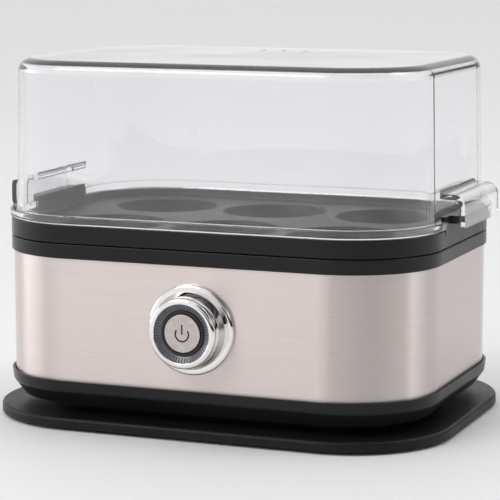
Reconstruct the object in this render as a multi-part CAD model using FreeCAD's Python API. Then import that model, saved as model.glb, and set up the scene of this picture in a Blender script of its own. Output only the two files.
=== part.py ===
import FreeCAD, Part
import math
import os

# Six-cup egg steamer, in millimetres. X is to the right, Y to the back, Z up.
# The model is built about the middle of the steel body, on the surface that the feet stand on.
# Every piece is then moved back a little, so that the origin is the bottom centre of the whole box.

V = FreeCAD.Vector
UP = V(0, 0, 1)
BACK = V(0, 1, 0)

# Driving sizes of the plan: the body goes round its rows of cups
cup_columns = 3
cup_rows = 2
cup_pitch_x = 47.0
cup_pitch_y = 53.0
cup_side_x = 38.0
cup_side_y = 35.7
body_corner_r = 34.2

# Base plate, rubber feet and the cord groove above the plate
foot_proud = 1.0
foot_r = 7.0
foot_sunk = 1.2
foot_fit = 0.1
foot_inset = 24.0
foot_edge_r = 0.4
plate_over = 5.6
plate_rim_h = 3.7
plate_rim_t = 2.4
plate_t = 2.0
plate_edge_r = 1.4
plate_rib_t = 1.5
plate_rib_spread = 28.0
foot_boss_t = 1.5
cord_gap = 3.9
groove_h = 8.3
neck_in = 16.0
neck_t = 2.0

# Bottom bowl, the black shell under the steel
bowl_h = 9.3
bowl_lip_over = 1.4
bowl_band_over = 1.0
bowl_band_h = 4.0
bowl_edge_in = 3.0
bowl_edge_t = 2.0
bowl_turn_r = 2.5
bowl_floor_t = 2.0
bowl_wall_t = 2.0
bowl_rib_rise = 1.0
lip_slot = 0.5
slot_floor_t = 1.6
exit_notch_w = 8.6

# Steel wrap and the slots that hold its edges
steel_t = 0.6
steel_slip = 0.15
steel_exposed_h = 46.55
steel_in_frame = 2.4
slot_end_gap = 0.15

# Upper frame, the lower of the two black bands
band_over = 0.9
frame_band_h = 5.55
frame_edge_r = 0.5
frame_wall_t = 2.05
frame_skirt_h = 6.4
ledge_drop = 4.5
ledge_t = 2.0

# Corner columns and the long screws that hold the body together
column_in = 8.5
column_r = 5.4
tie_screw_r = 2.0
tie_hole_gap = 0.15
tie_head_r = 3.6
tie_head_h = 2.4
tie_head_gap = 0.3
tie_seat_t = 2.0
thread_gap = 0.05
drive_r = 1.3
drive_depth_share = 0.5

# Heating pan, cast aluminium, with its silicone seal
pan_in = 10.1
pan_corner_r = 36.0
pan_gap = 0.6
pan_wall_t = 1.8
pan_floor_t = 2.0
pan_depth = 18.8
pan_draft = 3.0
pan_round = 4.0
flange_gap = 0.5
flange_t = 1.6
seal_t = 0.8
seal_lap = 0.6
pan_boss_r = 3.6
pan_boss_h = 5.9
pan_boss_gap = 0.3
tie_tip_cover = 0.8

# Heating element under the pan
heater_in_x = 28.9
heater_in_y = 25.1
heater_corner_r = 18.0
heater_r = 3.3
heater_fit = 0.05
heater_rib_w = 10.0
heater_rib_h = 3.0
heater_leg_x = 12.0
heater_bend_r = 8.0
heater_leg_drop = 10.0
bush_r = 2.6
bush_h = 2.5
pin_r = 1.3
pin_h = 4.5

# Thermostat, its bracket and the thermal fuse
stat_cap_r = 8.2
stat_cap_h = 5.0
stat_base_r = 6.2
stat_base_h = 8.0
stat_hole_gap = 0.4
tag_w = 4.8
tag_t = 0.8
tag_h = 7.0
stat_tag_x = 3.6
bracket_t = 1.0
bracket_w = 20.0
bracket_arm_w = 8.0
bracket_screw_x = 20.0
bracket_end = 5.0
bracket_boss_r = 4.0
small_screw_r = 1.5
small_head_r = 2.8
small_head_h = 1.8
bracket_screw_grip = 3.5
fuse_r = 2.5
fuse_half = 14.0
fuse_gap = 4.3
fuse_end_r = 1.1

# Cable outlet, clamp and terminal block on the base plate
outlet_r = 2.7
grommet_neck_r = 3.7
grommet_flange_r = 4.0
grommet_inner_r = 4.8
grommet_flange_t = 1.8
grommet_fit = 0.1
clamp_in = 7.7
clamp_post_x = 8.0
clamp_post_r = 3.4
clamp_w = 7.0
clamp_t = 2.6
clamp_rise = 1.0
clamp_screw_grip = 5.0
block_half_x = 10.0
block_in = 18.2
block_length = 14.0
block_h = 12.0
block_pole_x = 4.5
block_bore_r = 1.6
block_bore_h = 6.3
block_screw_r = 1.4
block_screw_inset = 3.5
block_screw_gap = 0.4
block_edge_r = 1.0
base_boss_r = 4.0
base_boss_in = 3.5
base_screw_grip = 9.0

# Wires
wire_r = 1.1
lamp_wire_r = 0.6
wire_bend_share = 0.45
wire_drop = 13.0
pin_wire_drop = 14.0
stat_wire_drop = 11.0
live_run = 31.0
switch_wire_x = -15.0
neutral_run = 12.0
neutral_x = 22.0
neutral_rise = 1.0
side_wire_x = 31.0

# Knob and push button, measured from the steel's front face
knob_x = 1.3
knob_z = 41.1
knob_reach = 10.5
knob_r = 13.2
knob_edge_r = 1.6
knob_bore_r = 10.85
knob_lip_r = 0.4
flange_r = 17.0
flange_h = 2.2
flange_edge_r = 1.4
collar_r = 14.5
collar_h = 1.6
collar_edge_r = 0.7
flare_h = 2.4
neck_r = 12.3
neck_length = 7.0
panel_hole_gap = 0.2
insert_fit = 0.05
dial_rim_drop = 0.5
dial_drop = 2.0
dial_t = 2.0
dial_bore_r = 8.45
dial_ridge_count = 56
dial_ridge_r = 0.28
dial_ridge_in = 1.6
light_bore_r = 7.4
light_drop = 1.4
light_h = 3.9
light_edge_r = 0.3
board_t = 1.2
board_bore_r = 5.1
lamp_count = 4
lamp_w = 1.6
lamp_h = 0.7
lamp_gap = 0.2
guide_length = 10.0
guide_pocket_r = 5.2
guide_pocket_floor = 3.0
guide_wire_x = 8.3
guide_wire_gap = 0.2

# Button
button_r = 7.05
button_drop = 1.0
button_skin = 0.6
button_skirt = 1.4
button_skirt_t = 0.5
button_edge_r = 0.3
button_notch_r = 0.5
button_travel = 1.5
stem_r = 3.2
stem_fit = 0.08
stem_head_t = 1.2
stem_tail = 4.5
clip_r = 4.9
clip_t = 0.7
clip_gap = 0.1
clip_mouth = 3.6
symbol_r = 2.6
symbol_line = 0.6
symbol_up = 3.65
symbol_drop = 0.3
symbol_open_deg = 112.0
symbol_depth = 0.25
spring_wire_r = 0.3
spring_r = 4.2
spring_turns = 6

# Switch and its bracket
nut_r = 16.0
nut_t = 3.0
nut_flats = 6
bracket_plate_half_x = 21.5
bracket_plate_half_z = 16.5
bracket_plate_t = 2.0
bracket_corner_r = 4.0
arm_in = 18.7
arm_t = 2.0
arm_half_z = 4.0
switch_half_x = 6.5
switch_half_z = 4.5
switch_length = 14.0
switch_front_gap = 1.6
switch_edge_r = 0.6
plunger_r = 2.0
plunger_fit = 0.08
plunger_in = 3.0
plunger_spare = 1.0
switch_tag_x = 4.0
switch_screw_x = 4.3
switch_screw_grip = 4.0
tiny_screw_r = 1.0
tiny_head_r = 1.9
tiny_head_h = 1.2

# Egg tray, the upper black band with its deck, cups and two ears
tray_gap = 0.3
tray_h = 6.7
tray_rim_t = 1.8
tray_edge_r = 0.4
deck_drop = 2.8
deck_t = 2.0
tray_skirt_in = 3.5
tray_skirt_t = 1.8
tray_skirt_h = 3.6
cup_ball_r = 23.0
cup_rise = 9.8
cup_wall_t = 1.6
cup_drain_r = 9.0
cup_edge_r = 0.6
ear_half = 23.0
ear_h = 4.9
ear_notch_w = 0.8
ear_notch_h = 2.3
tab_half = 18.0
tab_reach = 3.5
tab_t = 3.0
tab_corner_r = 1.6
tab_edge_r = 0.5

# Lid, one clear moulding with two side handles
lid_gap = 0.3
lid_flange_over = 1.4
lid_flange_h = 3.1
lid_flange_edge_r = 0.6
lid_wall_in = 1.3
lid_draft = 1.3
lid_wall_t = 2.0
lid_h = 60.5
lid_top_t = 2.2
lid_round = 5.0
lid_inner_round = 1.5
lid_skirt_h = 2.8
handle_half = 22.7
handle_out = 8.0
handle_top = 13.0
handle_lip = 0.5
handle_t = 2.0
handle_round = 4.5
handle_inner_round = 2.5
handle_tip_r = 3.0
handle_root_r = 1.5
vent_count = 3
vent_r = 1.2
vent_pitch = 9.0
vent_y = 36.0

# Length by which a cutting tool runs past what it cuts
overrun = 1.0

# Places that lie closer together than this count as the same
near = 1e-4

# Heights worked out from the sizes above
plate_bottom = foot_proud
plate_top = plate_bottom + plate_rim_h
bowl_bottom = plate_top + cord_gap
groove_roof = plate_top + groove_h
bowl_floor = groove_roof + bowl_floor_t
lip_top = bowl_bottom + bowl_h
slot_floor = bowl_floor - bowl_floor_t + slot_floor_t
steel_bottom = slot_floor + slot_end_gap
frame_bottom = lip_top + steel_exposed_h
steel_top = frame_bottom + steel_in_frame
frame_top = frame_bottom + frame_band_h
ledge_top = frame_top - ledge_drop
ledge_bottom = ledge_top - ledge_t
flange_bottom = ledge_top + seal_t
flange_top = flange_bottom + flange_t
pan_floor_top = flange_top - pan_depth
pan_underside = pan_floor_top - pan_floor_t
tray_bottom = frame_top + tray_gap
tray_top = tray_bottom + tray_h
deck_top = tray_top - deck_drop
deck_bottom = deck_top - deck_t
ear_top = tray_top + ear_h
lid_bottom = tray_top + lid_gap
lid_top = lid_bottom + lid_h
tie_seat = groove_roof + tie_head_h
column_bottom = tie_seat + tie_seat_t
boss_bottom = flange_bottom - pan_boss_h

# Places worked out from the sizes above
half_x = (cup_columns - 1) * cup_pitch_x / 2 + cup_side_x
half_y = (cup_rows - 1) * cup_pitch_y / 2 + cup_side_y
pan_half_x = half_x - pan_in
pan_half_y = half_y - pan_in
heater_half_x = pan_half_x - heater_in_x
heater_half_y = pan_half_y - heater_in_y
fuse_y = stat_cap_r + fuse_gap + fuse_r
front_y = -half_y
frame_wall_in = steel_t + steel_slip
frame_recess_in = frame_wall_in + frame_wall_t
bowl_rib_in = steel_t + steel_slip
bowl_inner_in = bowl_rib_in + bowl_wall_t
pan_flange_in = frame_recess_in + flange_gap
neck_inner_in = neck_in + neck_t
clamp_y = half_y - neck_inner_in - clamp_in
block_y1 = half_y - neck_inner_in - block_in
block_y0 = block_y1 - block_length
handle_x = half_x + handle_out
origin_shift = (knob_reach - plate_over) / 2


# Shapes in plan

def rounded_wire(hx, hy, r, z):
    """Closed outline of a rectangle with round corners, at height z."""
    points = []
    for sx, sy, start in ((1, 1, 0), (-1, 1, 90), (-1, -1, 180), (1, -1, 270)):
        corner = [math.radians(start + turn) for turn in (0, 45, 90)]
        centre = V(sx * (hx - r), sy * (hy - r), z)
        points.append([centre + V(r * math.cos(a), r * math.sin(a), 0) for a in corner])
    edges = []
    for i, arc in enumerate(points):
        edges.append(Part.Arc(*arc).toShape())
        edges.append(Part.LineSegment(arc[2], points[(i + 1) % len(points)][0]).toShape())
    return Part.Wire(edges)


def body_wire(grow, z):
    """Outline of the steel body grown by a given width, at height z."""
    return rounded_wire(half_x + grow, half_y + grow, body_corner_r + grow, z)


def pan_wire(grow, z):
    """Outline of the pan's wall grown by a given width, at height z."""
    return rounded_wire(pan_half_x + grow, pan_half_y + grow, pan_corner_r + grow, z)


def heater_wire(grow, z):
    """Outline of the heating element's ring grown by a given width, at height z."""
    return rounded_wire(heater_half_x + grow, heater_half_y + grow, heater_corner_r + grow, z)


def prism(wire, height):
    return Part.Face(wire).extrude(V(0, 0, height))


def body_block(grow, z0, z1):
    return prism(body_wire(grow, z0), z1 - z0)


def body_ring(outer, inner, z0, z1):
    """Wall that follows the body's outline, between two offsets and two heights."""
    core = prism(body_wire(inner, z0 - overrun), z1 - z0 + 2 * overrun)
    return body_block(outer, z0, z1).cut(core)


def box(x0, x1, y0, y1, z0, z1):
    return Part.makeBox(x1 - x0, y1 - y0, z1 - z0, V(x0, y0, z0))


def post(x, y, r, z0, z1):
    return Part.makeCylinder(r, z1 - z0, V(x, y, z0), UP)


def corner_place(inset):
    """Place on the diagonal of a body corner, at a given distance inside the steel."""
    reach = (body_corner_r - inset) * math.cos(math.radians(45))
    return half_x - body_corner_r + reach, half_y - body_corner_r + reach


def four_corners(inset):
    x, y = corner_place(inset)
    return [(sx * x, sy * y) for sx in (1, -1) for sy in (1, -1)]


def join(shapes):
    """One solid from shapes that touch or overlap."""
    first = shapes[0]
    return first.fuse(shapes[1:]).removeSplitter() if len(shapes) > 1 else first


def edges_at(shape, z, test=None):
    """Edges that lie wholly at height z, and pass a further test if one is given."""
    found = [e for e in shape.Edges
             if abs(e.BoundBox.ZMin - z) < near and abs(e.BoundBox.ZMax - z) < near]
    return [e for e in found if test is None or test(e)]


# Shapes on the knob's axis, which runs front to back. A depth is measured out from the steel.

def knob_point(depth, dx=0.0, dz=0.0):
    return V(knob_x + dx, front_y - depth, knob_z + dz)


def knob_rod(r, d0, d1, dx=0.0, dz=0.0):
    """Round rod on the knob's axis between two depths, d0 the deeper one."""
    return Part.makeCylinder(r, d1 - d0, knob_point(d1, dx, dz), BACK)


def knob_tube(r_out, r_in, d0, d1):
    return knob_rod(r_out, d0, d1).cut(knob_rod(r_in, d0 - overrun, d1 + overrun))


def knob_turned(profile):
    """Turned piece: profile is a list of radius and depth pairs, the last joined to the first."""
    points = [knob_point(depth, radius) for radius, depth in profile]
    face = Part.Face(Part.makePolygon(points + points[:1]))
    return face.revolve(knob_point(0), BACK, 360)


def circles_at(shape, depth, r):
    """Circular edges of a turned piece at a depth and radius."""
    y = front_y - depth
    return [e for e in shape.Edges
            if hasattr(e.Curve, "Radius") and abs(e.Curve.Radius - r) < near
            and abs(e.Curve.Center.y - y) < near and abs(e.BoundBox.YLength) < near]


# Screws

def screw(x, y, seat_z, r, grip, head_r, head_h):
    """Round-headed screw with its head below the seat and its shank going up."""
    head = post(x, y, head_r, seat_z - head_h, seat_z)
    shank = post(x, y, r, seat_z, seat_z + grip)
    drive = post(x, y, min(drive_r, head_r / 2), seat_z - head_h, seat_z - head_h * drive_depth_share)
    return join([head, shank]).cut(drive)


def group(shapes):
    return Part.makeCompound(shapes)


# Base

def base_plate():
    outer = body_block(plate_over, plate_bottom, plate_top)
    outer = outer.makeFillet(plate_edge_r, edges_at(outer, plate_top))
    hollow = body_block(plate_over - plate_rim_t, plate_bottom - overrun, plate_top - plate_t)
    plate = outer.cut(hollow)
    inside_x = half_x + plate_over - plate_rim_t
    inside_y = half_y + plate_over - plate_rim_t
    added = []
    skin_z = plate_top - plate_t
    rib_z0 = skin_z - foot_boss_t
    rib_half = plate_rib_t / 2
    for y in (-plate_rib_spread, plate_rib_spread):
        added.append(box(-inside_x, inside_x, y - rib_half, y + rib_half, rib_z0, skin_z))
    for x in (-plate_rib_spread, plate_rib_spread):
        added.append(box(x - rib_half, x + rib_half, -inside_y, inside_y, rib_z0, skin_z))
    added += [post(x, y, foot_r + foot_boss_t, plate_bottom, skin_z) for x, y in foot_places()]
    added += [post(x, y, base_boss_r, plate_bottom, skin_z) for x, y in base_screw_places()]
    added += [post(x, clamp_y, clamp_post_r, skin_z, clamp_seat()) for x in (-clamp_post_x, clamp_post_x)]
    plate = join([plate] + added)
    cuts = [post(x, y, foot_r + foot_fit, plate_bottom - overrun, plate_bottom + foot_sunk)
            for x, y in foot_places()]
    for x, y in base_screw_places():
        cuts.append(post(x, y, small_head_r + thread_gap * 2, plate_bottom - overrun, base_screw_seat()))
        cuts.append(post(x, y, small_screw_r + tie_hole_gap, plate_bottom, plate_top + overrun))
    for x in (-clamp_post_x, clamp_post_x):
        hole_z = clamp_seat() + clamp_t - clamp_screw_grip - clamp_t
        cuts.append(post(x, clamp_y, tiny_screw_r + thread_gap, max(hole_z, plate_top - plate_t / 2),
                         clamp_seat() + overrun))
    return plate.cut(cuts)


def foot_places():
    return four_corners(foot_inset - body_corner_r / 2)


def rubber_feet():
    feet = []
    for x, y in foot_places():
        foot = post(x, y, foot_r, 0, foot_proud + foot_sunk)
        feet.append(foot.makeFillet(foot_edge_r, edges_at(foot, 0)))
    return group(feet)


def base_screw_places():
    return four_corners(neck_inner_in + base_boss_in)


def base_screw_seat():
    return plate_bottom + small_head_h


def base_screws():
    return group([screw(x, y, base_screw_seat(), small_screw_r, base_screw_grip, small_head_r, small_head_h)
                  for x, y in base_screw_places()])


def bottom_bowl():
    sections = [body_wire(-bowl_edge_in, bowl_bottom), body_wire(bowl_band_over, lip_top - bowl_band_h),
                body_wire(bowl_lip_over, lip_top)]
    bowl = Part.makeLoft(sections, True, True)
    bowl = bowl.makeFillet(bowl_turn_r, edges_at(bowl, lip_top - bowl_band_h))
    slot = body_ring(lip_slot, -bowl_rib_in, slot_floor, lip_top + overrun)
    cavity = body_block(-bowl_inner_in, bowl_floor, lip_top + overrun)
    groove = body_ring(-bowl_edge_in - bowl_edge_t, -neck_in, bowl_bottom - overrun, groove_roof)
    inside = body_block(-neck_inner_in, bowl_bottom - overrun, lip_top + overrun)
    bowl = bowl.cut([slot, cavity, groove, inside])
    rib = body_ring(-bowl_rib_in, -bowl_inner_in, slot_floor, lip_top + bowl_rib_rise)
    neck = body_ring(-neck_in, -neck_inner_in, plate_top, bowl_floor)
    added = [rib, neck]
    added += [post(x, y, column_r, groove_roof, column_bottom) for x, y in four_corners(column_in)]
    added += [post(x, y, base_boss_r, plate_top, bowl_floor) for x, y in base_screw_places()]
    bowl = join([bowl] + added)
    cuts = []
    for x, y in four_corners(column_in):
        cuts.append(post(x, y, tie_head_r + tie_head_gap, groove_roof - overrun, tie_seat))
        cuts.append(post(x, y, tie_screw_r + tie_hole_gap, tie_seat - overrun, column_bottom + overrun))
    for x, y in base_screw_places():
        cuts.append(post(x, y, small_screw_r + thread_gap, plate_top - overrun,
                         base_screw_seat() + base_screw_grip + thread_gap))
    notch = exit_notch_w / 2
    cuts.append(box(-notch, notch, half_y - bowl_edge_in - bowl_edge_t - overrun,
                    half_y + bowl_lip_over + overrun, bowl_bottom - overrun, groove_roof))
    cuts.append(neck_slot())
    return bowl.cut(cuts)


def outlet_z():
    return plate_top + groove_h / 2


def neck_slot():
    """Slot in the neck's back wall that the grommet drops into, open at the base plate."""
    r = grommet_neck_r + grommet_fit
    y0 = half_y - neck_inner_in - overrun
    y1 = half_y - neck_in + overrun
    round_end = Part.makeCylinder(r, y1 - y0, V(0, y0, outlet_z()), BACK)
    return round_end.fuse(box(-r, r, y0, y1, plate_top - overrun, outlet_z()))


def cable_grommet():
    """Rubber bush in the neck's back wall, where the lead leaves into the cord groove."""
    y_in = half_y - neck_inner_in
    y_out = half_y - neck_in
    centre = V(0, 0, outlet_z())

    def rod(r, y0, y1):
        return Part.makeCylinder(r, y1 - y0, centre + V(0, y0, 0), BACK)

    neck = rod(grommet_neck_r, y_in, y_out)
    outer = rod(grommet_flange_r, y_out, y_out + grommet_flange_t)
    inner = rod(grommet_inner_r, y_in - grommet_flange_t, y_in)
    inner = inner.cut(box(-grommet_inner_r, grommet_inner_r, y_in - grommet_flange_t - overrun,
                          y_in + overrun, plate_top - grommet_inner_r, plate_top + grommet_fit))
    bore = rod(outlet_r, y_in - grommet_flange_t - overrun, y_out + grommet_flange_t + overrun)
    return join([neck, outer, inner]).cut(bore)


def tie_screws():
    grip = flange_bottom - tie_tip_cover - tie_seat
    return group([screw(x, y, tie_seat, tie_screw_r, grip, tie_head_r, tie_head_h)
                  for x, y in four_corners(column_in)])


# Body

def steel_wrap():
    wrap = body_ring(0, -steel_t, steel_bottom, steel_top)
    hole = knob_rod(neck_r + panel_hole_gap, -steel_t - overrun, overrun)
    return wrap.cut(hole)


def upper_frame():
    band = body_block(band_over, frame_bottom, frame_top)
    band = band.makeFillet(frame_edge_r, edges_at(band, frame_bottom) + edges_at(band, frame_top))
    ledge = body_block(-frame_wall_in, ledge_bottom, ledge_top)
    skirt_z = frame_bottom - frame_skirt_h
    skirt = body_ring(-frame_wall_in, -frame_recess_in, skirt_z, frame_bottom + overrun)
    recess = body_block(-frame_recess_in, ledge_top, frame_top + overrun)
    below = body_block(-frame_recess_in, skirt_z - overrun, ledge_bottom)
    opening = prism(pan_wire(pan_gap, ledge_bottom - overrun), ledge_t + 2 * overrun)
    slot = body_ring(steel_slip / 3, -frame_wall_in, frame_bottom - overrun, steel_top + slot_end_gap)
    frame = join([band, ledge, skirt]).cut([recess, below, opening, slot])
    columns = [post(x, y, column_r, column_bottom, ledge_top) for x, y in four_corners(column_in)]
    frame = join([frame] + columns)
    cuts = []
    for x, y in four_corners(column_in):
        cuts.append(post(x, y, tie_screw_r + tie_hole_gap, column_bottom - overrun, ledge_top + overrun))
        cuts.append(post(x, y, pan_boss_r + pan_boss_gap, boss_bottom - pan_boss_gap, ledge_top + overrun))
    return frame.cut(cuts)


def heating_pan():
    outer = Part.makeLoft([pan_wire(-pan_draft, pan_underside), pan_wire(0, flange_top)], True, True)
    outer = outer.makeFillet(pan_round, edges_at(outer, pan_underside))
    flange = body_block(-pan_flange_in, flange_bottom, flange_top)
    slope = pan_draft / (flange_top - pan_underside)
    inner = Part.makeLoft([pan_wire(-pan_wall_t - pan_draft + slope * pan_floor_t, pan_floor_top),
                           pan_wire(-pan_wall_t + slope * overrun, flange_top + overrun)], True, True)
    inner = inner.makeFillet(pan_round - pan_wall_t / 2, edges_at(inner, pan_floor_top))
    rib = prism(heater_wire(heater_rib_w / 2, pan_underside - heater_rib_h), heater_rib_h)
    rib = rib.cut(prism(heater_wire(-heater_rib_w / 2, pan_underside - heater_rib_h - overrun),
                        heater_rib_h + 2 * overrun))
    added = [flange, rib]
    added += [post(x, y, pan_boss_r, boss_bottom, flange_bottom) for x, y in four_corners(column_in)]
    added += [post(x, 0, bracket_boss_r, bracket_top(), pan_underside)
              for x in (-bracket_screw_x, bracket_screw_x)]
    pan = join([outer] + added).cut(inner)
    cuts = [sweep(heater_path(), heater_r + heater_fit)]
    hole_top = flange_bottom - tie_tip_cover + thread_gap
    cuts += [post(x, y, tie_screw_r + thread_gap, boss_bottom - overrun, hole_top)
             for x, y in four_corners(column_in)]
    cuts += [post(x, 0, small_screw_r + thread_gap, bracket_top() - overrun, bracket_hole_top())
             for x in (-bracket_screw_x, bracket_screw_x)]
    return pan.cut(cuts)


def pan_seal():
    seal = body_block(-pan_flange_in - seal_lap / 2, ledge_top, flange_bottom)
    seal = seal.cut(prism(pan_wire(pan_gap + seal_lap, ledge_top - overrun), seal_t + 2 * overrun))
    return seal.cut([post(x, y, pan_boss_r + pan_boss_gap, ledge_top - overrun, flange_bottom + overrun)
                     for x, y in four_corners(column_in)])


# Heating element

def heater_z():
    """Height of the element's axis: its top lies against the pan's floor."""
    return pan_underside - heater_r - heater_fit


def heater_leg_z():
    return heater_z() - heater_leg_drop


def heater_path():
    """Open ring from one leg, round the front and back to the other leg."""
    z = heater_z()
    hx, hy, r, b = heater_half_x, heater_half_y, heater_corner_r, heater_bend_r
    half = math.sqrt(0.5)
    x = heater_leg_x
    sag = b - b * half
    edges = [Part.LineSegment(V(x, hy, heater_leg_z()), V(x, hy, z - b)).toShape(),
             Part.Arc(V(x, hy, z - b), V(x + sag, hy, z - sag), V(x + b, hy, z)).toShape(),
             Part.LineSegment(V(x + b, hy, z), V(hx - r, hy, z)).toShape()]
    turn = r * half
    corners = ((1, 1), (1, -1), (-1, -1), (-1, 1))
    for i, (sx, sy) in enumerate(corners):
        along_x = V(sx * (hx - r), sy * hy, z)
        along_y = V(sx * hx, sy * (hy - r), z)
        middle = V(sx * (hx - r + turn), sy * (hy - r + turn), z)
        first, last = (along_x, along_y) if i % 2 == 0 else (along_y, along_x)
        edges.append(Part.Arc(first, middle, last).toShape())
        if i < 3:
            nx, ny = corners[i + 1]
            start = V(nx * hx, ny * (hy - r), z) if i % 2 == 0 else V(nx * (hx - r), ny * hy, z)
            edges.append(Part.LineSegment(last, start).toShape())
    edges += [Part.LineSegment(V(-hx + r, hy, z), V(-x - b, hy, z)).toShape(),
              Part.Arc(V(-x - b, hy, z), V(-x - sag, hy, z - sag), V(-x, hy, z - b)).toShape(),
              Part.LineSegment(V(-x, hy, z - b), V(-x, hy, heater_leg_z())).toShape()]
    return Part.Wire(edges)


def sweep(path, r):
    """Round tube of radius r along a path of runs and tangent arcs."""
    start = path.OrderedEdges[0]
    along = start.tangentAt(start.FirstParameter)
    ring = Part.Wire(Part.makeCircle(r, path.OrderedVertexes[0].Point, along))
    tube = path.makePipeShell([ring], True, False)
    wanted = math.pi * r * r * path.Length
    if abs(tube.Volume - wanted) > 0.01 * wanted:
        print("tube volume", tube.Volume, "section times length", wanted)
    return tube


def heater_tube():
    return sweep(heater_path(), heater_r)


def heater_bushes():
    z = heater_leg_z()
    bushes = []
    for x in (-heater_leg_x, heater_leg_x):
        bore = post(x, heater_half_y, pin_r, z - bush_h - overrun, z + overrun)
        bushes.append(post(x, heater_half_y, bush_r, z - bush_h, z).cut(bore))
    return group(bushes)


def heater_pins():
    z = heater_leg_z()
    return group([post(x, heater_half_y, pin_r, z - bush_h - pin_h, z)
                  for x in (-heater_leg_x, heater_leg_x)])


# Thermostat and fuse

def bracket_top():
    return pan_underside - stat_cap_h


def bracket_hole_top():
    return bracket_top() - bracket_t + bracket_screw_grip + bracket_t


def thermostat():
    cap = post(0, 0, stat_cap_r, bracket_top(), pan_underside)
    base = post(0, 0, stat_base_r, bracket_top() - stat_base_h, bracket_top())
    return join([cap, base])


def tag(x, y, z_top, thick_in_x):
    dx, dy = (tag_t, tag_w) if thick_in_x else (tag_w, tag_t)
    return box(x - dx / 2, x + dx / 2, y - dy / 2, y + dy / 2, z_top - tag_h, z_top)


def thermostat_tags():
    z = bracket_top() - stat_base_h
    return group([tag(x, 0, z, True) for x in (-stat_tag_x, stat_tag_x)])


def thermostat_bracket():
    """Flat steel bar that presses the thermostat and the fuse to the pan's floor."""
    z1 = bracket_top()
    z0 = z1 - bracket_t
    end = bracket_screw_x + bracket_end
    bar = box(-end, end, -bracket_w / 2, bracket_w / 2, z0, z1)
    upright = [e for e in bar.Edges if abs(e.BoundBox.ZLength - bracket_t) < near]
    bar = bar.makeFillet(bracket_end / 2, upright)
    arm = box(-bracket_arm_w / 2, bracket_arm_w / 2, -fuse_y - fuse_r, 0, z0, z1)
    cuts = [post(0, 0, stat_base_r + stat_hole_gap, z0 - overrun, z1 + overrun)]
    cuts += [post(x, 0, small_screw_r + tie_hole_gap, z0 - overrun, z1 + overrun)
             for x in (-bracket_screw_x, bracket_screw_x)]
    return join([bar, arm]).cut(cuts)


def bracket_screws():
    z = bracket_top() - bracket_t
    grip = bracket_t + bracket_screw_grip - thread_gap
    return group([screw(x, 0, z, small_screw_r, grip, small_head_r, small_head_h)
                  for x in (-bracket_screw_x, bracket_screw_x)])


def fuse_z():
    return bracket_top() + fuse_r


def thermal_fuse():
    sleeve = Part.makeCylinder(fuse_r, 2 * fuse_half, V(-fuse_half, -fuse_y, fuse_z()), V(1, 0, 0))
    ends = [c for c in sleeve.Edges if abs(c.BoundBox.XLength) < near]
    return sleeve.makeChamfer(fuse_r - fuse_end_r - thread_gap, ends)


# Cable clamp and terminal block

def clamp_seat():
    return outlet_z() - outlet_r + clamp_rise


def cord_clamp():
    z0 = clamp_seat()
    end = clamp_post_x + clamp_post_r
    bar = box(-end, end, clamp_y - clamp_w / 2, clamp_y + clamp_w / 2, z0, z0 + clamp_t)
    side = outlet_r + clamp_t
    bridge = box(-side, side, clamp_y - clamp_w / 2, clamp_y + clamp_w / 2,
                 z0, z0 + 2 * outlet_r + clamp_t - clamp_rise)
    tunnel = Part.makeCylinder(outlet_r, clamp_w + 2 * overrun,
                               V(0, clamp_y - clamp_w / 2 - overrun, outlet_z()), BACK)
    mouth = box(-outlet_r, outlet_r, clamp_y - clamp_w, clamp_y + clamp_w, z0 - overrun, outlet_z())
    holes = [post(x, clamp_y, tiny_screw_r + tie_hole_gap, z0 - overrun, z0 + clamp_t + overrun)
             for x in (-clamp_post_x, clamp_post_x)]
    return join([bar, bridge]).cut([tunnel, mouth] + holes)


def top_screw(x, y, seat_z, r, grip, head_r, head_h):
    """Round-headed screw with its head above the seat and its shank going down."""
    head = post(x, y, head_r, seat_z, seat_z + head_h)
    shank = post(x, y, r, seat_z - grip, seat_z)
    drive = box(x - head_r, x + head_r, y - head_r / 5, y + head_r / 5, seat_z + head_h * drive_depth_share,
                seat_z + head_h + overrun)
    return join([head, shank]).cut(drive)


def clamp_screws():
    z = clamp_seat() + clamp_t
    return group([top_screw(x, clamp_y, z, tiny_screw_r, clamp_screw_grip, tiny_head_r, tiny_head_h)
                  for x in (-clamp_post_x, clamp_post_x)])


def terminal_places():
    rows = (block_y0 + block_screw_inset, block_y1 - block_screw_inset)
    return [(x, y) for x in (-block_pole_x, block_pole_x) for y in rows]


def terminal_block():
    z0 = plate_top
    block = box(-block_half_x, block_half_x, block_y0, block_y1, z0, z0 + block_h)
    block = block.makeFillet(block_edge_r, edges_at(block, z0 + block_h))
    cuts = [Part.makeCylinder(block_bore_r, block_y1 - block_y0 + 2 * overrun,
                              V(x, block_y0 - overrun, z0 + block_bore_h), BACK)
            for x in (-block_pole_x, block_pole_x)]
    cuts += [post(x, y, block_screw_r + block_screw_gap, z0 + block_bore_h, z0 + block_h + overrun)
             for x, y in terminal_places()]
    return block.cut(cuts)


def terminal_screws():
    """Clamp screws over each wire: each reaches down to the wire's top."""
    z0 = plate_top + block_bore_h + wire_r
    z1 = plate_top + block_h - block_screw_gap
    screws = []
    for x, y in terminal_places():
        slot = box(x - block_screw_r, x + block_screw_r, y - block_screw_gap / 2, y + block_screw_gap / 2,
                   z1 - block_screw_r / 2, z1 + overrun)
        screws.append(post(x, y, block_screw_r, z0, z1).cut(slot))
    return group(screws)


# Wires: straight runs joined by tangent arcs

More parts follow.
